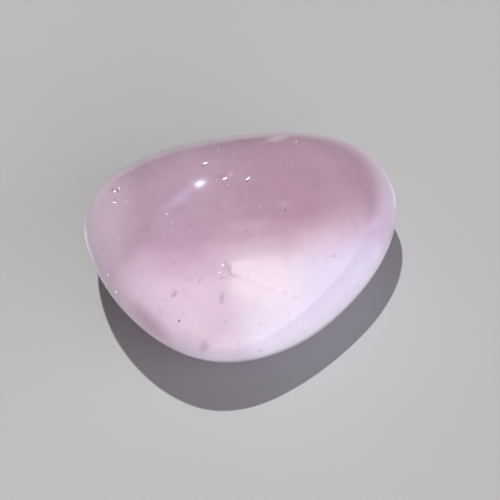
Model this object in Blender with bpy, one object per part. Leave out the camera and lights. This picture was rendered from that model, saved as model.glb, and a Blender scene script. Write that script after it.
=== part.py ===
"""A tumbled rose quartz stone: one solid, lying on its flattest side.

Run with: blender --background --python part.py

A tumbled stone starts as a broken lump with flat faces, and the drum wears its corners round. This
file builds it the same way. FLATS lists the lump's faces, and WEAR says how round its corners are.
The stone is about 34 mm long, 32 mm deep and 18 mm high. Units are metres and +Z is up. +X runs
along the stone's longest side. The origin is at the middle of its footprint, on the surface that
the stone lies on.
"""

import bmesh
import bpy
import numpy as np

MM = 0.001

# The lump's faces: azimuth of the outward normal, counter-clockwise from +X seen from above, its
# elevation above the horizon, both in degrees, and the face's distance from the centre in mm.
FLATS = (
    (-100, 70, 9.7),  # the broad top, which slopes down to the front
    (100, 40, 8.8),  # the back slope, its middle, right and left
    (75, 40, 12.4),
    (125, 40, 12.3),
    (-15, 50, 15.4),  # the right shoulder
    (-45, 45, 14.7),  # the front right shoulder
    (155, 40, 17.1),  # the left shoulder
    (180, 15, 19.2),  # the left end
    (120, 0, 12.6),  # the low back wall, its left and right
    (65, -5, 15.8),
    (-150, -15, 18.3),  # the front left wall
    (-50, 10, 17.9),  # the nose
    (15, 20, 18.8),  # the right end
    (-85, -55, 15.7),  # the underside, from the front round to the right, the back and the left
    (-125, -55, 12.9),
    (-20, -50, 14.7),
    (30, -65, 14.9),
    (105, -50, 14.0),
    (170, -55, 14.3),
    (0, -90, 8.3),  # the side that it lies on
)
WEAR = 5.0  # the power that blends the faces: 2 wears them to a ball, and 30 leaves sharp edges
REST_CUT = 0.2 * MM  # the lowest skin, worn off flat where the stone rests
BALL_SUBDIVISIONS = 5  # 5120 triangles before the cut

STONE_PINK = (0.80, 0.60, 0.70, 1.0)
STONE_ROUGHNESS = 0.12
QUARTZ_IOR = 1.544


def clear_scene():
    for obj in list(bpy.data.objects):
        bpy.data.objects.remove(obj, do_unlink=True)


def flat_normals():
    """The unit outward normal of each face in FLATS, one row each."""
    azimuth, elevation = np.radians([flat[:2] for flat in FLATS]).T
    return np.stack(
        (np.cos(elevation) * np.cos(azimuth), np.cos(elevation) * np.sin(azimuth), np.sin(elevation)),
        axis=1,
    )


def worn_radius(directions):
    """How far the worn surface is from the centre along each unit direction.

    A face at distance d meets the direction u at d / (n . u). The power mean of all the faces
    follows the nearest one and turns smoothly from each to the next.
    """
    distances = np.array([flat[2] for flat in FLATS]) * MM
    nearness = np.maximum(directions @ flat_normals().T, 0.0) / distances
    return (nearness**WEAR).sum(axis=1) ** (-1.0 / WEAR)


def worn_ball():
    """A bmesh ball of even triangles, each vertex moved out to the worn surface."""
    ball = bmesh.new()
    bmesh.ops.create_icosphere(ball, subdivisions=BALL_SUBDIVISIONS, radius=1.0)
    directions = np.array([vertex.co.normalized() for vertex in ball.verts])
    for vertex, point in zip(ball.verts, directions * worn_radius(directions)[:, None]):
        vertex.co = point
    return ball


def set_down(ball):
    """Moves the stone so that its lowest skin is at z = 0, cuts that off flat, and centres its footprint."""
    lowest = min(vertex.co.z for vertex in ball.verts)
    bmesh.ops.translate(ball, verts=ball.verts, vec=(0.0, 0.0, -lowest - REST_CUT))
    everything = ball.verts[:] + ball.edges[:] + ball.faces[:]
    cut = bmesh.ops.bisect_plane(
        ball, geom=everything, plane_co=(0, 0, 0), plane_no=(0, 0, 1), clear_inner=True, dist=1e-7
    )
    rim = [item for item in cut["geom_cut"] if isinstance(item, bmesh.types.BMEdge)]
    bmesh.ops.edgeloop_fill(ball, edges=rim)
    bmesh.ops.recalc_face_normals(ball, faces=ball.faces)
    points = np.array([vertex.co for vertex in ball.verts])
    middle = (points.min(axis=0) + points.max(axis=0)) / 2
    bmesh.ops.translate(ball, verts=ball.verts, vec=(-middle[0], -middle[1], 0.0))


def quartz_material():
    material = bpy.data.materials.new("rose_quartz")
    material.use_nodes = True
    shader = material.node_tree.nodes["Principled BSDF"]
    shader.inputs["Base Color"].default_value = STONE_PINK
    shader.inputs["Roughness"].default_value = STONE_ROUGHNESS
    shader.inputs["Metallic"].default_value = 0.0
    shader.inputs["IOR"].default_value = QUARTZ_IOR
    return material


def make_stone():
    ball = worn_ball()
    set_down(ball)
    mesh = bpy.data.meshes.new("rose_quartz_stone")
    ball.to_mesh(mesh)
    ball.free()
    mesh.shade_smooth()
    mesh.set_sharp_from_angle(angle=np.radians(40))
    mesh.materials.append(quartz_material())
    stone = bpy.data.objects.new("rose_quartz_stone", mesh)
    bpy.context.scene.collection.objects.link(stone)


clear_scene()
make_stone()
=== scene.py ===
"""Looks for the tumbled rose quartz stone, on a plain pale floor in soft studio light.

The stone is the part's worn lump again, on a much finer mesh, with the gentle swells of a tumbled
surface and with the chips and mineral grains that the photograph shows; its two white grains stand
in as painted glints. Its material is rose quartz, with a clear window at the back and the top, a milky
front and left end, small marks just under the surface, and a healed fracture. Some of the marks are
painted light: a painted halo and reflection by the lamp's highlight, painted glints, a painted glow
low round the front, and painted shade beside the chips and along the lower left edge. The hidden
sides get chips and grains of the same kind.
"""

import math
from collections import namedtuple

import bmesh
import bpy
import numpy as np
from mathutils import Matrix, Vector, noise
from mathutils.bvhtree import BVHTree


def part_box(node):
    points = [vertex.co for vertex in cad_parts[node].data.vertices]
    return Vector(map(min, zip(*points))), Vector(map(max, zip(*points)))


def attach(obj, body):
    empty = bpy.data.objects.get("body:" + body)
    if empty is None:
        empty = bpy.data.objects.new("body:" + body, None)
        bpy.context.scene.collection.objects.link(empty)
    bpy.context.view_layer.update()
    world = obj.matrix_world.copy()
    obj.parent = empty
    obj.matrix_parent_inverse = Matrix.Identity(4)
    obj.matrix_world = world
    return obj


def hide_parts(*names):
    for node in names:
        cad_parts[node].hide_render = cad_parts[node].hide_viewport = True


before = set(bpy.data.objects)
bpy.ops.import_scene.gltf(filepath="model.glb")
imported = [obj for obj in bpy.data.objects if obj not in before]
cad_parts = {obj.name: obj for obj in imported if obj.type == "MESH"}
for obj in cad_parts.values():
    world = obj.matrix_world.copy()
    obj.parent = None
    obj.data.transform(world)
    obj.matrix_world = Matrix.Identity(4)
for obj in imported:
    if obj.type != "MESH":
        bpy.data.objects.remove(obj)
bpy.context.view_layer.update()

MM = 0.001
NODE = "rose_quartz_stone"
BODY = "root"

# The part's lump: azimuth and elevation of each face's outward normal in degrees, its distance in mm.
FLATS = (
    (-100, 70, 9.7),
    (100, 40, 8.8),
    (75, 40, 12.4),
    (125, 40, 12.3),
    (-15, 50, 15.4),
    (-45, 45, 14.7),
    (155, 40, 17.1),
    (180, 15, 19.2),
    (120, 0, 12.6),
    (65, -5, 15.8),
    (-150, -15, 18.3),
    (-50, 10, 17.9),
    (15, 20, 18.8),
    (-85, -55, 15.7),
    (-125, -55, 12.9),
    (-20, -50, 14.7),
    (30, -65, 14.9),
    (105, -50, 14.0),
    (170, -55, 14.3),
    (0, -90, 8.3),
)
WEAR = 5.0  # the power that blends the faces
REST_CUT = 0.2 * MM  # the lowest skin, worn off flat where the stone rests

FINE_SUBDIVISIONS = 6  # 20480 triangles
FINE_EDGE = 0.6 * MM  # about the length of their edges
CHIP_REFINEMENTS = 5  # each one halves the edges round a chip
CHIP_MARGIN = 1.1  # how far from a chip's middle they are halved: this many of its half lengths,
EDGE_MARGIN = 0.6  # and this many edges
SWELL_HEIGHT = 0.03 * MM
SWELL_LENGTH = 7.0 * MM
CROWN_PIXEL = (194, 184)  # the middle of a low crown, which the main highlight lies on
CROWN_HEADING = 21  # the way that its length points in the photograph, in degrees
CROWN_HEIGHT = 0.12 * MM
CROWN_SIZE = (2.0 * MM, 4.0 * MM, 4.0 * MM)  # along its heading, across it and into the stone
BOX_MARGIN = 0.01 * MM  # how far inside the part's box the surface stays

# The photograph's view: 52 degrees above the table, and 0.2 m away.
PHOTO_PIXELS = 500
CAMERA_AT = Vector((0.896, -122.084, 162.033)) * MM
CAMERA_ELEVATION = math.radians(52.0)
CAMERA_LENS = 131.0  # in mm, as is the sensor
CAMERA_SENSOR = 36.0
CAMERA_CLIP = (0.01, 10.0)
# The photograph's axes: the way to its right side, to its top, and into it.
RIGHT = Vector((1.0, 0.0, 0.0))
UP = Vector((0.0, math.sin(CAMERA_ELEVATION), math.cos(CAMERA_ELEVATION)))
FORWARD = Vector((0.0, math.cos(CAMERA_ELEVATION), -math.sin(CAMERA_ELEVATION)))

# The lamp, the studio and the floor, in metres and watts.
KEY_AT = Vector((-0.135, 0.13, 1.0))
KEY_SIZE = 0.024
KEY_POWER = 7.4
STUDIO_COLOUR = (1.0, 1.0, 1.0, 1.0)
STUDIO_DIM = 0.10
STUDIO_BRIGHT = 2.75
FILL_FROM = Vector((0.72, -0.70, 0.02))  # the studio's brighter side
FILL_EDGE = 0.45  # the cosine of the angle from FILL_FROM at which the brighter side begins
FILL_COLOUR = (0.88, 0.86, 1.00, 1.0)
FLOOR_SIZE = 2.0
FLOOR_GAP = 0.03 * MM  # how far the floor is below the stone

# A chip: its pixel in the photograph, its length and width in mm, the way that its length points in
# the photograph in degrees, its least depth in mm, and how much of the polish its rough floor lacks.
Chip = namedtuple("Chip", "x y length width heading depth dull")
CHIPS = (
    Chip(205.5, 163, 0.80, 0.18, 12, 0.05, 0.92),
    Chip(225, 178, 0.54, 0.30, 25, 0.06, 0.92),
    Chip(248, 178, 0.62, 0.32, 40, 0.06, 0.92),
    Chip(114.5, 190.5, 0.46, 0.36, 30, 0.05, 0.92),
    Chip(119, 188, 0.36, 0.25, 50, 0.04, 0.96),
    Chip(114.3, 202, 0.52, 0.24, 5, 0.06, 0.995),
    Chip(223, 265, 0.32, 0.26, 70, 0.05, 0.92),
    Chip(219, 273, 0.26, 0.20, 10, 0.03, 0.95),
)
CHIP_WALL = 0.03 * MM  # how wide the slope is between a chip's outline and its floor
CHIP_HOLLOW = 0.06  # how far a chip's floor turns up from its middle to its side, in radians
HOLLOW_ALONG = 0.3  # how far it rises to its end, as a share of how far it rises to its side
# The waves round a chip's outline: their number, their height, and how much its own phase turns them.
CHIP_WAVES = ((2, 0.14, 2), (3, 0.10, 5))
CHIP_REACH = 2.0  # a chip lowers nothing further off than this many of its half lengths
LEAST_FACING = 0.1  # keeps a facet from reaching too far where the surface turns away from it
DULL_SPREAD = 1.6  # how much larger than the chip the mask over its dull floor is
DULL_CORE = 0.7  # how much of that mask's half size has its full strength
HIDDEN_CHIPS = 34
HIDDEN_CHIP_LENGTH = (0.2, 0.7)  # mm
HIDDEN_CHIP_DEPTH = 0.08  # as a share of the chip's length
HIDDEN_CHIP_TILT = (6.0, 22.0)  # degrees from the surface
HIDDEN_WIDTH = (0.5, 0.9)  # the width of a hidden chip or grain, as a share of its length
HIDDEN_FACING = -0.1  # the surface is hidden where it faces the camera by less than this
CHIP_SEED = 7

# A mineral grain in the surface: its pixel in the photograph, its length and width in mm, and the way
# that its length points in the photograph in degrees.
Grain = namedtuple("Grain", "x y length width heading")
DARK_GRAINS = (
    Grain(285, 210, 0.26, 0.16, 70),
    Grain(247, 231, 0.16, 0.12, 0),
    Grain(357, 220, 0.12, 0.10, 0),
    Grain(179, 321, 0.28, 0.18, 60),
    Grain(238, 344, 0.16, 0.14, 0),
    Grain(261, 324, 0.12, 0.10, 0),
    Grain(226, 322, 0.14, 0.12, 0),
)
# White grains whose brightness is a painted glint where pits catch the lamp.
WHITE_GLINT_GRAINS = (
    Grain(108, 275, 0.24, 0.20, 0),
    Grain(116, 292, 0.32, 0.28, 0),
)
# How deep a grain's middle lies under the surface, and half its height, as shares of its width.
DARK_SINK = 0.2
DARK_HEIGHT = 0.3
WHITE_SINK = 0.05
WHITE_HEIGHT = 0.45
GRAIN_BUMP = 0.25  # how high its bumps are, as a share of its size
GRAIN_BUMPS = 1.7  # how many of them there are from its middle to its side
GRAIN_SUBDIVISIONS = 3
HIDDEN_GRAINS = 12
HIDDEN_GRAIN_LENGTH = (0.12, 0.3)  # mm
GRAIN_SEED = 21

# A soft mark in the quartz just under the surface: its pixel in the photograph, its length and width
# in mm, the way that its length points in the photograph in degrees, and its strength from 0 to 1.
Mark = namedtuple("Mark", "x y length width heading strength")
MARK_DEPTH = 3.0  # how deep a mark goes into the stone, in mm
# Darker marks: smudges, and painted shade.
SMUDGES_AND_SHADE = (
    Mark(174, 294, 1.3, 0.8, 50, 0.60),
    Mark(166, 300, 0.6, 0.4, 20, 0.30),
    Mark(184, 313, 0.9, 0.5, 60, 0.25),
    Mark(160, 310, 1.6, 0.5, -65, 0.18),
    Mark(222, 298, 2.0, 0.8, 85, 0.50),
    Mark(204, 347, 2.8, 1.4, 70, 0.46),
    Mark(260, 351, 1.6, 1.0, 20, 0.26),
    Mark(200, 280, 2.0, 0.5, 60, 0.28),
    Mark(197, 273, 1.0, 0.6, 90, 0.22),
    Mark(227, 268, 1.6, 1.1, -50, 0.26),
    Mark(226, 264, 1.3, 0.40, -70, 0.45),
    Mark(229, 270, 1.4, 0.50, -50, 0.45),
    Mark(247, 181, 0.70, 0.35, 40, 0.80),  # this one and the next five are shadows beside chips
    Mark(221, 176, 1.00, 0.90, 30, 0.28),
    Mark(203, 166, 0.80, 0.30, 12, 0.60),
    Mark(112.5, 189, 0.60, 0.45, 60, 0.90),
    Mark(117, 190.5, 0.60, 0.35, 60, 1.00),
    Mark(115, 199, 0.90, 0.40, 10, 0.45),
    Mark(233, 275, 1.6, 0.5, -32, 0.42),
    Mark(223, 278, 1.2, 0.5, 0, 0.35),
    Mark(334, 256, 0.9, 0.6, 10, 0.45),
    Mark(341, 256, 0.7, 0.3, 0, 0.35),
    Mark(329, 271, 0.4, 0.3, 0, 0.30),
    Mark(243, 311, 0.4, 0.3, 0, 0.25),
    Mark(289, 316, 0.4, 0.3, 0, 0.30),
    Mark(139, 230, 0.50, 0.45, 0, 0.50),
    Mark(168, 270, 9.0, 4.5, -5, 0.10),
    Mark(148, 321, 9.0, 3.0, -42, 0.50),  # painted reflection of the shadow along the lower left edge
    Mark(281, 293, 11.6, 0.16, -21, 0.17),  # the healed fracture's line, and then specks along it
    Mark(273, 288, 1.2, 0.4, -10, 0.26),
    Mark(285, 292, 1.0, 0.45, -25, 0.26),
    Mark(297, 297, 1.4, 0.35, -5, 0.26),
)
# Milk in the clearer quartz: dots, streaks and wide veils. Its small dots are painted glints of pits.
VEILS_AND_GLINT_DOTS = (
    Mark(126, 202, 2.4, 1.3, 75, 0.45),
    Mark(230, 174, 1.4, 0.7, 30, 0.30),
    Mark(277, 138, 4.6, 2.0, 13, 0.60),
    Mark(296, 141, 0.8, 0.35, 80, 1.00),
    Mark(218, 150, 0.40, 0.40, 0, 0.90),
    Mark(260, 206, 0.40, 0.32, 0, 0.50),
    Mark(191, 231, 0.40, 0.30, 0, 0.45),
    Mark(196, 238, 0.40, 0.30, 0, 0.45),
    Mark(166, 214, 0.46, 0.40, 0, 1.00),
    Mark(172, 222, 0.50, 0.40, 40, 0.50),
    Mark(173, 230, 0.34, 0.34, 0, 0.50),
    Mark(217, 180, 0.40, 0.34, 0, 0.60),
    Mark(228, 185, 0.44, 0.30, 10, 0.50),
    Mark(219, 273, 1.0, 0.8, 0, 0.40),
    Mark(232, 208, 11.0, 6.0, 0, 0.16),
    Mark(252, 229, 13.0, 5.0, 0, 0.30),
)
# Violet haze. The first mark is a painted reflection that runs down left from the lamp's highlight, and
# the last is a painted halo round that highlight.
HALO_AND_HAZES = (
    Mark(179, 199, 7.4, 2.6, 37, 0.32),
    Mark(126, 202, 2.6, 1.4, 75, 0.28),
    Mark(200, 183, 2.6, 2.0, 20, 0.25),
)
# Brighter milk. The first mark is a painted glint.
BRIGHTS_AND_GLINT_DOT = (
    Mark(166, 214, 0.46, 0.40, 0, 1.00),
    Mark(243, 287, 5.0, 2.4, -12, 0.40),
    Mark(212, 277, 1.6, 0.9, 20, 0.50),
    Mark(192, 328, 5.0, 3.0, -20, 0.60),
)

# A noise: the size of its lumps in mm, its detail, its roughness and its distortion. Nodes.noise has
# the values of those left out.
CLOUD_NOISE = (8.0, 3.0, 0.5, 0.3)
THROUGH_NOISE = (3.3, 5.0, 0.6, 0.5)
BLOTCH_NOISE = (0.9, 4.0)
ROUGH_NOISE = (2.0,)
GRAIN_NOISE = (0.05, 3.0)
FLOOR_NOISE = (40.0, 2.0)
# How an outline strays: the size of its lumps, and how far it strays both ways together, in mm.
MARK_WANDER = (0.5, 0.5)
WEDGE_WANDER = (1.0, 0.3)

# Below, a pair of numbers is where a change begins and where it ends, unless its comment says what it
# is. A name that ends in X is along +X, in mm.
CLEAR_LEFT = (0.93, 0.69, 0.83, 1.0)  # the clear quartz at the left, and at the right
CLEAR_RIGHT = (0.92, 0.64, 0.76, 1.0)
CLEAR_X = (-8.0, 8.0)
LEFT_MILK = (0.98, 0.74, 0.88, 1.0)
MilkChange = namedtuple("MilkChange", "start end colour")  # a new colour of the milk, along +X in mm
MILK_CHANGES = (
    MilkChange(-14.0, -10.0, (0.90, 0.735, 0.86, 1.0)),
    MilkChange(-6.0, 1.5, (0.76, 0.67, 0.745, 1.0)),
    MilkChange(3.0, 14.0, (0.66, 0.61, 0.73, 1.0)),
    MilkChange(11.0, 15.0, (0.70, 0.67, 0.88, 1.0)),
)
PAINTED_GLOW_MILK = (0.93, 0.855, 1.0, 1.0)  # the whiter skin low down round the front, a painted glow where the surface turns from the lamp
PAINTED_GLOW_UP = (0.70, 0.18)  # the upward share of the surface's normal
PAINTED_GLOW_X = (-9.0, -4.0)
PAINTED_GLOW_STRENGTH = 0.8
BRIGHT_MILK_AND_GLINT = (0.96, 0.835, 0.89, 1.0)
HALO_AND_HAZE_COLOUR = (0.76, 0.71, 1.00, 1.0)
SMUDGE_AND_SHADE_COLOUR = (0.42, 0.30, 0.40, 1.0)
BLOTCHES = (0.52, 0.75)  # the noise at which a faint blotch begins, and at which it is full
BLOTCH_STRENGTH = 0.10

CLEAR_THROUGH = 0.64  # how much of the light goes through as glass, in the clear window
MILK_THROUGH = 0.03  # and in the milk
THROUGH_CHANGE = 0.12  # how much both vary from place to place
ROUGHNESS = (0.09, 0.15)  # the least and the most
ROUGH_SPREAD = (0.3, 0.7)
# What is the same all over the quartz.
QUARTZ_SHADER = (
    ("IOR", 1.544),
    ("Specular Tint", (0.05, 0.05, 0.06, 1.0)),  # the coat gives the gloss
    ("Subsurface Weight", 1.0),
    ("Subsurface Radius", (1.0, 0.85, 0.95)),
    ("Subsurface Scale", 0.005),
    ("Coat Roughness", 0.02),
    ("Sheen Weight", 0.5),
    ("Sheen Roughness", 0.35),
    ("Sheen Tint", (0.9, 0.85, 1.0, 1.0)),
)
ABSORPTION_COLOUR = (0.84, 0.68, 0.78, 1.0)
ABSORPTION_DENSITY = 40.0  # for each metre of quartz

# Where the quartz is milky, in mm.
MILK_EDGE = (-0.08, 0.79, 0.62)  # the way that the milky front's edge faces, to the clear side
MILK_EDGE_AT = 3.6  # the middle of that edge, along MILK_EDGE
MILK_EDGE_HALF = 4.2  # half of the way that the milk takes to clear there
MILK_EDGE_TILT = -0.04  # how much the edge moves with each mm along +X
MILK_EDGE_CLOUD = 5.0  # how far the clouds move it
FRONT_LEFT_MILK = 0.70  # how milky the front is at its left
FRONT_LEFT_X = (-2.8, 0.4)
FRONT_LEFT_LEAN = 0.35  # how much that change moves with each mm along MILK_EDGE
FRONT_LEFT_CLOUD = 3.0  # how far the clouds move it
SLOPE_MILK = 0.13  # a little milk from the middle to the left
SLOPE_X = (5.0, -6.0)
END_MILK = 0.5  # more of it at the left end
END_X = (-10.0, -16.0)
MILK_BLEND = 0.15  # how smoothly the milky parts run into each other
WINDOW_MIDDLE = (1.5, 9.4)  # the clear window's middle along +X, and along MILK_EDGE
WINDOW_HALF = (13.3, 6.4)  # and half its size
WINDOW_CORNERS = 2.5  # 2 is an ellipse, and more is squarer
RIM_MILK = 0.55
RIM_SPREAD = (0.72, 1.28)  # as shares of WINDOW_HALF, raised to WINDOW_CORNERS and added
RIM_RIGHT_X = (3.0, 9.0)  # the rim is only at the right,
RIM_TOP_FADE = 2.0  # and at the top, where it begins this far below WINDOW_MIDDLE

# A healed fracture, and the whiter wedge of quartz behind it, in mm from FRACTURE_START.
FRACTURE_START = (230, 271)  # where it comes to the surface, as a pixel of the photograph
FRACTURE_HEADING = -22  # the way that it runs in the photograph, in degrees
WEDGE_TIP = (0.0, 0.25)  # to the right of the start
WEDGE_RIGHT_END = (9.0, 1.0)
WEDGE_TOP = (1.9, 0.7)  # above the start
WEDGE_TOP_SLOPE = -0.1
WEDGE_LINE = (-0.2, 0.3)  # across the fracture: the wedge is weaker below it
WEDGE_BELOW = 0.6
WEDGE_BOTTOM = (-3.5, -0.5)
WEDGE_MILK = 0.85
WEDGE_BRIGHTNESS = 0.9

DARK_GRAIN_COLOURS = ((0.10, 0.04, 0.05, 1.0), (0.28, 0.16, 0.20, 1.0))
WHITE_GLINT_COLOURS = ((0.86, 0.80, 0.84, 1.0), (0.98, 0.94, 0.96, 1.0))
GRAIN_ROUGHNESS = 0.4
FLOOR_COLOURS = ((0.46, 0.455, 0.45, 1.0), (0.49, 0.485, 0.48, 1.0))
FLOOR_ROUGHNESS = 0.6

X_AXIS = (1.0, 0.0, 0.0)
Y_AXIS = (0.0, 1.0, 0.0)
Z_AXIS = (0.0, 0.0, 1.0)


def link(obj):
    bpy.context.scene.collection.objects.link(obj)
    return obj


# ---- The worn lump ----


def flat_normals():
    """The unit outward normal of each face in FLATS, one row each."""
    azimuth, elevation = np.radians([flat[:2] for flat in FLATS]).T
    return np.stack(
        (np.cos(elevation) * np.cos(azimuth), np.cos(elevation) * np.sin(azimuth), np.sin(elevation)),
        axis=1,
    )


NORMALS = flat_normals()
DISTANCES = np.array([flat[2] for flat in FLATS]) * MM


def worn_points(directions):
    """Points of the worn surface, from the lump's centre, and its outward normals there."""
    nearness = np.maximum(directions @ NORMALS.T, 0.0) / DISTANCES
    radius = (nearness**WEAR).sum(axis=1) ** (-1.0 / WEAR)
    normals = (nearness ** (WEAR - 1.0) / DISTANCES) @ NORMALS
    return directions * radius[:, None], normals / np.linalg.norm(normals, axis=1, keepdims=True)


def directions_of(ball):
    return np.array([vertex.co.normalized() for vertex in ball.verts])


def fine_ball():
    ball = bmesh.new()
    bmesh.ops.create_icosphere(ball, subdivisions=FINE_SUBDIVISIONS, radius=1.0)
    return ball


def centre_of(ball):
    """Where the lump's centre is in the part's frame, with the stone set down as the part is."""
    points, _ = worn_points(directions_of(ball))
    low, high = points.min(axis=0), points.max(axis=0)
    return np.array([-(low[0] + high[0]) / 2, -(low[1] + high[1]) / 2, -low[2] - REST_CUT])


def photo_ray(x, y):
    """The direction of the camera's ray through a pixel of the photograph."""
    focal = PHOTO_PIXELS * CAMERA_LENS / CAMERA_SENSOR
    middle = PHOTO_PIXELS / 2
    return (FORWARD * focal + RIGHT * (x - middle) + UP * (middle - y)).normalized()


def smooth_surface(ball):
    points, _ = worn_points(directions_of(ball))
    vertices = [Vector(point) for point in points + CENTRE]
    return BVHTree.FromPolygons(vertices, [[v.index for v in face.verts] for face in ball.faces])


def on_stone(x, y):
    """The point of the stone's smooth surface at a pixel of the photograph, and its normal."""
    point, normal, _, _ = SURFACE.ray_cast(CAMERA_AT, photo_ray(x, y))
    return point, normal


def across(normal, heading):
    """A unit tangent that points the way of heading, in degrees, as the photograph shows it."""
    angle = math.radians(heading)
    along = RIGHT * math.cos(angle) + UP * math.sin(angle)
    return (along - FORWARD * (along.dot(normal) / FORWARD.dot(normal))).normalized()


def glint_normal(point):
    """The normal of a facet at point that mirrors the key light into the camera."""
    return ((CAMERA_AT - point).normalized() + (KEY_AT - point).normalized()).normalized()


# ---- Chips ----

# Where a chip is and how it is cut: its centre, the stone's normal there, the way of its length, its
# half length, half width and least depth in metres, its facet's normal, and the phase of its outline.
Cut = namedtuple("Cut", "point normal along half_length half_width depth facet phase")


def photo_cuts():
    """The chips that the photograph shows."""
    cuts = []
    for number, chip in enumerate(CHIPS):
        point, normal = on_stone(chip.x, chip.y)
        along = across(normal, chip.heading)
        half_size = (chip.length / 2 * MM, chip.width / 2 * MM)
        cuts.append(Cut(point, normal, along, *half_size, chip.depth * MM, glint_normal(point), number))
    return cuts


def hidden_spot(rng, clearance):
    """A random point of the stone, above clearance, that the photograph doesn't show, and its normal."""
    while True:
        direction = rng.normal(size=(1, 3))
        direction /= np.linalg.norm(direction)
        points, normals = worn_points(direction)
        point = Vector(points[0] + CENTRE)
        normal = Vector(normals[0])
        if -FORWARD.dot(normal) < HIDDEN_FACING and point.z > clearance:
            return point, normal


def hidden_cuts():
    """Chips of the same kind on the sides that the photograph doesn't show. The heading is the phase."""
    rng = np.random.default_rng(CHIP_SEED)
    cuts = []
    for _ in range(HIDDEN_CHIPS):
        length = rng.uniform(*HIDDEN_CHIP_LENGTH) * MM
        width = length * rng.uniform(*HIDDEN_WIDTH)
        tilt = math.radians(rng.uniform(*HIDDEN_CHIP_TILT))
        heading = rng.uniform(0.0, 360.0)
        point, normal = hidden_spot(rng, length)
        along = across(normal, heading)
        facet = (normal * math.cos(tilt) + along * math.sin(tilt)).normalized()
        depth = HIDDEN_CHIP_DEPTH * length
        cuts.append(Cut(point, normal, along, length / 2, width / 2, depth, facet, heading))
    return cuts


def chip_outline(u, v, cut):
    """From 0 outside the chip's wavy outline to 1 on its floor; u and v are 1 at its ends and sides."""
    angle = np.arctan2(v, u)
    reach = 1.0
    for count, height, phase in CHIP_WAVES:
        reach = reach + height * np.cos(count * angle + phase * cut.phase)
    inside = 1.0 - np.hypot(u, v) * reach
    edge = np.clip(inside * cut.half_width / CHIP_WALL, 0.0, 1.0)
    return edge * edge * (3.0 - 2.0 * edge)


def cut_depths(points, normals, cut):
    """How far the chip lowers the surface at each point, along the stone's normal there."""
    along, normal, facet = (np.array(axis) for axis in (cut.along, cut.normal, cut.facet))
    away = np.linalg.norm(points - np.array(cut.point), axis=1)
    offset = points - points[away.argmin()]
    u = offset @ along / cut.half_length
    v = offset @ np.cross(normal, along) / cut.half_width
    # The facet is this deep at the chip's middle, which leaves the least depth at its shallow side.
    slope = np.linalg.norm(np.cross(facet, normal))
    middle = (cut.depth + slope * cut.half_width) * (facet @ normal)
    hollow = CHIP_HOLLOW * cut.half_width * (v * v + HOLLOW_ALONG * u * u) / 2
    height = (offset @ facet + middle - hollow) / np.maximum(normals @ facet, LEAST_FACING)
    depths = chip_outline(u, v, cut) * np.maximum(height, 0.0)
    return np.where(away < CHIP_REACH * cut.half_length, depths, 0.0)


def refine_round(ball, cuts):
    """Halves the edges round the chips a few times, with the new vertices on the unit ball too."""
    for step in range(CHIP_REFINEMENTS):
        edge_length = FINE_EDGE / 2**step
        points, _ = worn_points(directions_of(ball))
        points += CENTRE
        near = np.zeros(len(points), dtype=bool)
        for cut in cuts:
            reach = CHIP_MARGIN * cut.half_length + EDGE_MARGIN * edge_length
            near |= np.linalg.norm(points - np.array(cut.point), axis=1) < reach
        ball.verts.index_update()
        edges = [edge for edge in ball.edges if any(near[v.index] for v in edge.verts)]
        bmesh.ops.subdivide_edges(ball, edges=edges, cuts=1, use_grid_fill=True)
        bmesh.ops.triangulate(ball, faces=[face for face in ball.faces if len(face.verts) > 3])
        for vertex in ball.verts:
            vertex.co.normalize()


def swells(points):
    """The low, wide waves of a tumbled surface."""
    return np.array([noise.noise(Vector(point) / SWELL_LENGTH) for point in points]) * SWELL_HEIGHT


def crown(points):
    """A low, wide rise round CROWN_PIXEL."""
    middle, normal = on_stone(*CROWN_PIXEL)
    along = across(normal, CROWN_HEADING)
    axes = np.array((along, normal.cross(along), normal)).T
    away = (points - np.array(middle)) @ axes / np.array(CROWN_SIZE)
    return np.exp(-(away**2).sum(axis=1) / 2) * CROWN_HEIGHT


def inside_the_box(points):
    """The points, drawn in a little where the fine surface would leave the part's box."""
    low, high = (np.array(corner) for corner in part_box(NODE))
    middle = np.array([(low[0] + high[0]) / 2, (low[1] + high[1]) / 2, 0.0])
    room = np.minimum(high - middle, middle - low)
    room[2] = high[2]
    reach = np.abs(points - middle).max(axis=0)
    return middle + (points - middle) * np.minimum(1.0, (room - BOX_MARGIN) / reach)


def stone_mesh(ball, cuts):
    """The stone's visible surface, with its swells, its crown and its chips."""
    refine_round(ball, cuts)
    points, normals = worn_points(directions_of(ball))
    points += CENTRE
    raised = swells(points) + crown(points)
    points += normals * raised[:, None]
    lowered = np.maximum.reduce([cut_depths(points, normals, cut) for cut in cuts])
    points -= normals * lowered[:, None]
    points = inside_the_box(points)
    points[:, 2] = np.maximum(points[:, 2], 0.0)
    for vertex, point in zip(ball.verts, points):
        vertex.co = point
    mesh = bpy.data.meshes.new("stone_surface")
    ball.to_mesh(mesh)
    mesh.shade_smooth()
    return mesh


# ---- Materials ----


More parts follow.
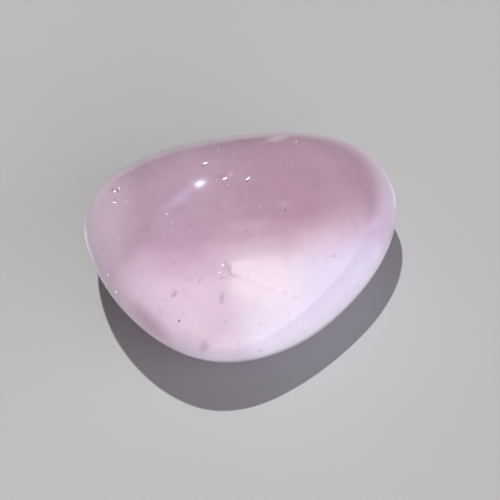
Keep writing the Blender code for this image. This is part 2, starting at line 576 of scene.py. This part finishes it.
class Nodes:
    """A node tree, with a short call for each kind of node that the looks need."""

    def __init__(self, tree):
        self.tree = tree

    def new(self, kind, **properties):
        node = self.tree.nodes.new("ShaderNode" + kind)
        for name, value in properties.items():
            setattr(node, name, value)
        return node

    def plug(self, socket, value):
        """Links an output to a socket, or sets the socket's own value."""
        if isinstance(value, bpy.types.NodeSocket):
            self.tree.links.new(value, socket)
        else:
            socket.default_value = value

    def math(self, operation, *values, clamp=False):
        node = self.new("Math", operation=operation, use_clamp=clamp)
        for socket, value in zip(node.inputs, values):
            self.plug(socket, value)
        return node.outputs[0]

    def vector(self, operation, *values):
        node = self.new("VectorMath", operation=operation)
        for socket, value in zip(node.inputs, values):
            self.plug(socket, value)
        scalar = operation in ("DOT_PRODUCT", "DISTANCE", "LENGTH")
        return node.outputs["Value" if scalar else "Vector"]

    def ramp(self, value, start, end, low=0.0, high=1.0, kind="SMOOTHSTEP"):
        """From low, where the value is start, to high, where it is end."""
        node = self.new("MapRange", interpolation_type=kind)
        for name, number in (
            ("Value", value),
            ("From Min", start),
            ("From Max", end),
            ("To Min", low),
            ("To Max", high),
        ):
            self.plug(node.inputs[name], number)
        return node.outputs["Result"]

    def noise(self, at, size, detail=3.0, roughness=0.5, distortion=0.0):
        """Noise from 0 to 1 with lumps of about size mm."""
        node = self.new("TexNoise")
        self.plug(node.inputs["Vector"], at)
        node.inputs["Scale"].default_value = 1.0 / size
        node.inputs["Detail"].default_value = detail
        node.inputs["Roughness"].default_value = roughness
        node.inputs["Distortion"].default_value = distortion
        return node.outputs["Fac"]

    def mix(self, factor, a, b):
        """The colour a, and b where the factor is 1."""
        node = self.new("Mix", data_type="RGBA")
        self.plug(node.inputs["Factor"], factor)
        self.plug(node.inputs["A"], a)
        self.plug(node.inputs["B"], b)
        return node.outputs["Result"]

    def wander(self, at, size, reach):
        """Coordinates that stray by up to about reach / 2 mm, in lumps of about size mm."""
        node = self.new("TexNoise")
        self.plug(node.inputs["Vector"], at)
        node.inputs["Scale"].default_value = 1.0 / size
        stray = self.new("VectorMath", operation="MULTIPLY_ADD")
        self.plug(stray.inputs[0], node.outputs["Color"])
        stray.inputs[1].default_value = (reach, reach, reach)
        offset = self.vector("SUBTRACT", at, (reach / 2, reach / 2, reach / 2))
        self.plug(stray.inputs[2], offset)
        return stray.outputs["Vector"]

    def local(self, at, point, turn, size=(1.0, 1.0, 1.0)):
        """Coordinates from point, along the turned axes, as shares of the size along each."""
        node = self.new("Mapping", vector_type="TEXTURE")
        self.plug(node.inputs["Vector"], at)
        node.inputs["Location"].default_value = point
        node.inputs["Rotation"].default_value = turn
        node.inputs["Scale"].default_value = size
        return node.outputs["Vector"]

    def along(self, vector, axis):
        """How far the vector goes along the axis."""
        return self.vector("DOT_PRODUCT", vector, axis)

    def millimetres(self):
        """Object coordinates in mm."""
        scale = self.new("VectorMath", operation="SCALE")
        self.plug(scale.inputs[0], self.new("TexCoord").outputs["Object"])
        scale.inputs["Scale"].default_value = 1.0 / MM
        return scale.outputs["Vector"]


def new_material(name):
    """A new material, the calls for its node tree, and its shader's inputs."""
    material = bpy.data.materials.new(name)
    material.use_nodes = True
    tree = material.node_tree
    return material, Nodes(tree), tree.nodes["Principled BSDF"].inputs


def surface_axes(x, y, heading):
    """The stone's point at a pixel, in mm, and the turn of axes there: along heading, across and out."""
    point, normal = on_stone(x, y)
    along = across(normal, heading)
    turn = Matrix((along, normal.cross(along), normal)).transposed()
    return point / MM, turn.to_euler()


def marks(nodes, at, table, core=0.0):
    """All the marks of a table as one mask, from 0 outside to the strength of each at its core."""
    mask = 0.0
    for mark in table:
        point, turn = surface_axes(mark.x, mark.y, mark.heading)
        size = (mark.length / 2, mark.width / 2, MARK_DEPTH)
        away = nodes.vector("LENGTH", nodes.local(at, point, turn, size))
        mask = nodes.math("MAXIMUM", nodes.ramp(away, 1.0, core, 0.0, mark.strength), mask)
    return mask


def dull_floors(nodes, at):
    """How much of the polish is missing: on the floors of the chips that the photograph shows."""
    floors = [
        Mark(chip.x, chip.y, DULL_SPREAD * chip.length, DULL_SPREAD * chip.width, chip.heading, chip.dull)
        for chip in CHIPS
    ]
    return marks(nodes, at, floors, DULL_CORE)


def white_wedge(nodes, at):
    """The whiter quartz between the fracture and the clear window, with a sharp end at the left."""
    point, turn = surface_axes(*FRACTURE_START, FRACTURE_HEADING)
    place = nodes.local(at, point, turn)
    slant = math.radians(FRACTURE_HEADING)
    right = nodes.along(place, (math.cos(slant), -math.sin(slant), 0.0))
    above = nodes.along(place, (math.sin(slant), math.cos(slant), 0.0))
    off_line = nodes.along(place, Y_AXIS)
    top = nodes.math("MULTIPLY_ADD", right, WEDGE_TOP_SLOPE, above)
    wedge = nodes.ramp(right, *WEDGE_TIP)
    for limit in (
        nodes.ramp(right, *WEDGE_RIGHT_END),
        nodes.ramp(top, *WEDGE_TOP),
        nodes.ramp(off_line, *WEDGE_LINE, WEDGE_BELOW, 1.0),
        nodes.ramp(off_line, *WEDGE_BOTTOM),
    ):
        wedge = nodes.math("MULTIPLY", wedge, limit)
    return wedge


def window_rim(nodes, x, level):
    """The thin milk that closes the clear window round its right end and its top."""
    across_it = nodes.math("SUBTRACT", x, WINDOW_MIDDLE[0])
    across_it = nodes.math("DIVIDE", nodes.math("MAXIMUM", across_it, 0.0), WINDOW_HALF[0])
    up_it = nodes.math("ABSOLUTE", nodes.math("SUBTRACT", level, WINDOW_MIDDLE[1]))
    up_it = nodes.math("DIVIDE", up_it, WINDOW_HALF[1])
    powers = [nodes.math("POWER", share, WINDOW_CORNERS) for share in (across_it, up_it)]
    rim = nodes.ramp(nodes.math("ADD", *powers), *RIM_SPREAD, 0.0, RIM_MILK)
    right = nodes.ramp(x, *RIM_RIGHT_X)
    top = nodes.ramp(level, WINDOW_MIDDLE[1] - RIM_TOP_FADE, WINDOW_MIDDLE[1])
    return nodes.math("MULTIPLY", rim, nodes.math("MAXIMUM", right, top))


def milky_front(nodes, x, level, cloud):
    """The milk on the near side of a ragged edge, weaker at the left."""
    ragged = nodes.math("MULTIPLY_ADD", cloud, MILK_EDGE_CLOUD, level)
    ragged = nodes.math("MULTIPLY_ADD", x, MILK_EDGE_TILT, ragged)
    front = nodes.ramp(ragged, MILK_EDGE_AT + MILK_EDGE_HALF, MILK_EDGE_AT - MILK_EDGE_HALF)
    side = nodes.math("MULTIPLY_ADD", cloud, FRONT_LEFT_CLOUD, x)
    side = nodes.math("MULTIPLY_ADD", level, FRONT_LEFT_LEAN, side)
    return nodes.math("MULTIPLY", front, nodes.ramp(side, *FRONT_LEFT_X, FRONT_LEFT_MILK, 1.0))


def milkiness(nodes, at, veils_glints_and_halo):
    """From 0, clear, to 1, milky: the front, the left end, a thin rim round the window, and the veils,
    which hold painted glints, a painted halo and a painted reflection.
    """
    x = nodes.along(at, X_AXIS)
    level = nodes.along(at, MILK_EDGE)
    cloud = nodes.math("SUBTRACT", nodes.noise(at, *CLOUD_NOISE), 0.5)
    slope = nodes.ramp(x, *SLOPE_X, 0.0, SLOPE_MILK)
    left_end = nodes.math("ADD", slope, nodes.ramp(x, *END_X, 0.0, END_MILK))
    milk = milky_front(nodes, x, level, cloud)
    for other in (left_end, window_rim(nodes, x, level), veils_glints_and_halo):
        milk = nodes.math("SMOOTH_MAX", milk, other, MILK_BLEND, clamp=True)
    return milk


def milk_colour(nodes, x, brights_and_glint_dot):
    """The milk's colour: it changes along +X, low down round the front with a painted glow, and where it
    is bright, which holds a painted glint.
    """
    colour = LEFT_MILK
    for change in MILK_CHANGES:
        colour = nodes.mix(nodes.ramp(x, change.start, change.end), colour, change.colour)
    # Painted glow: the milk is whiter where the normal points less upward, low round the front.
    up = nodes.along(nodes.new("TexCoord").outputs["Normal"], Z_AXIS)
    painted_glow = nodes.math("MULTIPLY", nodes.ramp(up, *PAINTED_GLOW_UP), nodes.ramp(x, *PAINTED_GLOW_X, 0.0, PAINTED_GLOW_STRENGTH))
    colour = nodes.mix(painted_glow, colour, PAINTED_GLOW_MILK)
    return nodes.mix(brights_and_glint_dot, colour, BRIGHT_MILK_AND_GLINT)


def with_smudges_and_shade(nodes, at, wander, colour):
    """The colour, with faint blotches all over and the photograph's smudges and painted shade."""
    blotches = nodes.ramp(nodes.noise(at, *BLOTCH_NOISE), *BLOTCHES, 0.0, BLOTCH_STRENGTH)
    colour = nodes.mix(blotches, colour, SMUDGE_AND_SHADE_COLOUR)
    # Smudges, and painted shade beside the chips and along the lower left edge.
    return nodes.mix(marks(nodes, wander, SMUDGES_AND_SHADE), colour, SMUDGE_AND_SHADE_COLOUR)


def see_through(nodes, at, milk):
    """How much of the light goes through as glass."""
    change = nodes.math("SUBTRACT", nodes.noise(at, *THROUGH_NOISE), 0.5)
    through = nodes.ramp(milk, 0.0, 1.0, CLEAR_THROUGH, MILK_THROUGH, "LINEAR")
    return nodes.math("MULTIPLY_ADD", change, THROUGH_CHANGE, through, clamp=True)


def add_absorption(nodes):
    absorption = nodes.new("VolumeAbsorption")
    absorption.inputs["Color"].default_value = ABSORPTION_COLOUR
    absorption.inputs["Density"].default_value = ABSORPTION_DENSITY
    output = nodes.tree.nodes["Material Output"]
    nodes.plug(output.inputs["Volume"], absorption.outputs["Volume"])


def quartz_material():
    material, nodes, inputs = new_material("rose_quartz")
    at = nodes.millimetres()
    x = nodes.along(at, X_AXIS)
    wander = nodes.wander(at, *MARK_WANDER)
    halo_and_hazes = marks(nodes, wander, HALO_AND_HAZES)
    wedge = white_wedge(nodes, nodes.wander(at, *WEDGE_WANDER))
    # The veils, with painted glint dots and the painted halo.
    veils_glints_and_halo = nodes.math("MAXIMUM", marks(nodes, wander, VEILS_AND_GLINT_DOTS), halo_and_hazes)
    veils_glints_and_halo = nodes.math("MAXIMUM", veils_glints_and_halo, nodes.math("MULTIPLY", wedge, WEDGE_MILK))
    bright_wedge = nodes.math("MULTIPLY", wedge, WEDGE_BRIGHTNESS)
    # Brighter milk, with a painted glint dot.
    brights_and_glint_dot = nodes.math("MAXIMUM", marks(nodes, wander, BRIGHTS_AND_GLINT_DOT), bright_wedge)
    milk = milkiness(nodes, at, veils_glints_and_halo)
    clear = nodes.mix(nodes.ramp(x, *CLEAR_X), CLEAR_LEFT, CLEAR_RIGHT)
    colour = nodes.mix(milk, clear, milk_colour(nodes, x, brights_and_glint_dot))
    # Painted highlight halo and painted reflection by the lamp's highlight, with the violet haze.
    colour = nodes.mix(halo_and_hazes, colour, HALO_AND_HAZE_COLOUR)
    nodes.plug(inputs["Base Color"], with_smudges_and_shade(nodes, at, wander, colour))
    nodes.plug(inputs["Transmission Weight"], see_through(nodes, at, milk))
    nodes.plug(inputs["Roughness"], nodes.ramp(nodes.noise(at, *ROUGH_NOISE), *ROUGH_SPREAD, *ROUGHNESS))
    nodes.plug(inputs["Coat Weight"], nodes.math("SUBTRACT", 1.0, dull_floors(nodes, at)))
    for name, value in QUARTZ_SHADER:
        inputs[name].default_value = value
    add_absorption(nodes)
    return material


def mottled_material(name, lumps, colours, roughness):
    """A rough material that varies between two colours."""
    material, nodes, inputs = new_material(name)
    mottle = nodes.noise(nodes.millimetres(), *lumps)
    nodes.plug(inputs["Base Color"], nodes.mix(mottle, *colours))
    inputs["Roughness"].default_value = roughness
    return material


# ---- Grains ----


def add_grain(mesh, point, normal, along, length, width, sink, height, seed):
    """Adds one rough, closed grain to mesh, sunk in the surface with its top proud of it."""
    side = normal.cross(along)
    turn = Matrix((along, side, normal)).transposed().to_4x4()
    place = Matrix.Translation(point - normal * width * sink) @ turn
    made = bmesh.ops.create_icosphere(mesh, subdivisions=GRAIN_SUBDIVISIONS, radius=1.0)
    for vertex in made["verts"]:
        bump = 1.0 + GRAIN_BUMP * noise.noise(vertex.co * GRAIN_BUMPS + Vector((seed, 0.0, 0.0)))
        size = Vector((length / 2, width / 2, width * height))
        vertex.co = place @ (vertex.co * bump * size)


def add_photo_grains(grains, table, sink, height):
    for number, grain in enumerate(table):
        point, normal = on_stone(grain.x, grain.y)
        along = across(normal, grain.heading)
        size = (grain.length * MM, grain.width * MM)
        add_grain(grains, point, normal, along, *size, sink, height, number)


def add_hidden_grains(grains):
    rng = np.random.default_rng(GRAIN_SEED)
    for number in range(HIDDEN_GRAINS):
        length = rng.uniform(*HIDDEN_GRAIN_LENGTH) * MM
        width = length * rng.uniform(*HIDDEN_WIDTH)
        point, normal = hidden_spot(rng, length)
        along = across(normal, rng.uniform(0.0, 360.0))
        seed = len(DARK_GRAINS) + number
        add_grain(grains, point, normal, along, length, width, DARK_SINK, DARK_HEIGHT, seed)


def mesh_of(grains, name):
    mesh = bpy.data.meshes.new(name)
    grains.to_mesh(mesh)
    grains.free()
    mesh.shade_smooth()
    return mesh


def dark_grains_mesh():
    """The dark grains that the photograph shows, and the hidden ones."""
    grains = bmesh.new()
    add_photo_grains(grains, DARK_GRAINS, DARK_SINK, DARK_HEIGHT)
    add_hidden_grains(grains)
    return mesh_of(grains, "dark_grains")


def white_glint_grains_mesh():
    grains = bmesh.new()
    add_photo_grains(grains, WHITE_GLINT_GRAINS, WHITE_SINK, WHITE_HEIGHT)
    return mesh_of(grains, "white_glint_grains")


# ---- Floor, camera and lights ----


def add_floor():
    bpy.ops.mesh.primitive_plane_add(size=FLOOR_SIZE, location=(0.0, 0.0, -FLOOR_GAP))
    floor = bpy.context.object
    floor.name = "floor"
    floor.data.materials.append(
        mottled_material("pale_floor", FLOOR_NOISE, FLOOR_COLOURS, FLOOR_ROUGHNESS)
    )


def add_camera():
    data = bpy.data.cameras.new("photo_camera")
    data.lens = CAMERA_LENS
    data.sensor_width = CAMERA_SENSOR
    data.clip_start, data.clip_end = CAMERA_CLIP
    camera = link(bpy.data.objects.new("photo_camera", data))
    camera.location = CAMERA_AT
    camera.rotation_euler = (math.pi / 2 - CAMERA_ELEVATION, 0.0, 0.0)
    bpy.context.scene.camera = camera


def add_key():
    """A small, round lamp nearly overhead, which faces the stone."""
    data = bpy.data.lights.new("key", "AREA")
    data.shape = "DISK"
    data.size = KEY_SIZE
    data.energy = KEY_POWER
    light = link(bpy.data.objects.new("key", data))
    light.location = KEY_AT
    light.rotation_euler = (-KEY_AT).to_track_quat("-Z", "Y").to_euler()


def add_world():
    """A soft studio, dim all round and brighter towards the front right."""
    world = bpy.data.worlds.new("studio")
    world.use_nodes = True
    nodes = Nodes(world.node_tree)
    inputs = world.node_tree.nodes["Background"].inputs
    facing = nodes.along(nodes.new("TexCoord").outputs["Generated"], FILL_FROM.normalized())
    fill = nodes.ramp(facing, FILL_EDGE, 1.0)
    nodes.plug(inputs["Color"], nodes.mix(fill, STUDIO_COLOUR, FILL_COLOUR))
    nodes.plug(inputs["Strength"], nodes.ramp(fill, 0.0, 1.0, STUDIO_DIM, STUDIO_BRIGHT, "LINEAR"))
    bpy.context.scene.world = world


# ---- The scene ----


def add_piece(name, mesh, material):
    mesh.materials.append(material)
    piece = link(bpy.data.objects.new(name, mesh))
    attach(piece, BODY)
    return piece


ball = fine_ball()
# The lump's centre and its smooth surface, which the functions above place everything by.
CENTRE = centre_of(ball)
SURFACE = smooth_surface(ball)
stone = add_piece("stone_surface", stone_mesh(ball, photo_cuts() + hidden_cuts()), quartz_material())
ball.free()
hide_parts(NODE)
dark = mottled_material("dark_grain", GRAIN_NOISE, DARK_GRAIN_COLOURS, GRAIN_ROUGHNESS)
add_piece("dark_grains", dark_grains_mesh(), dark)
# White grains as painted glints.
white = mottled_material("white_glint_grain", GRAIN_NOISE, WHITE_GLINT_COLOURS, GRAIN_ROUGHNESS)
add_piece("white_glint_grains", white_glint_grains_mesh(), white)

add_floor()
add_camera()
add_key()
add_world()
bpy.context.scene.view_settings.view_transform = "Standard"
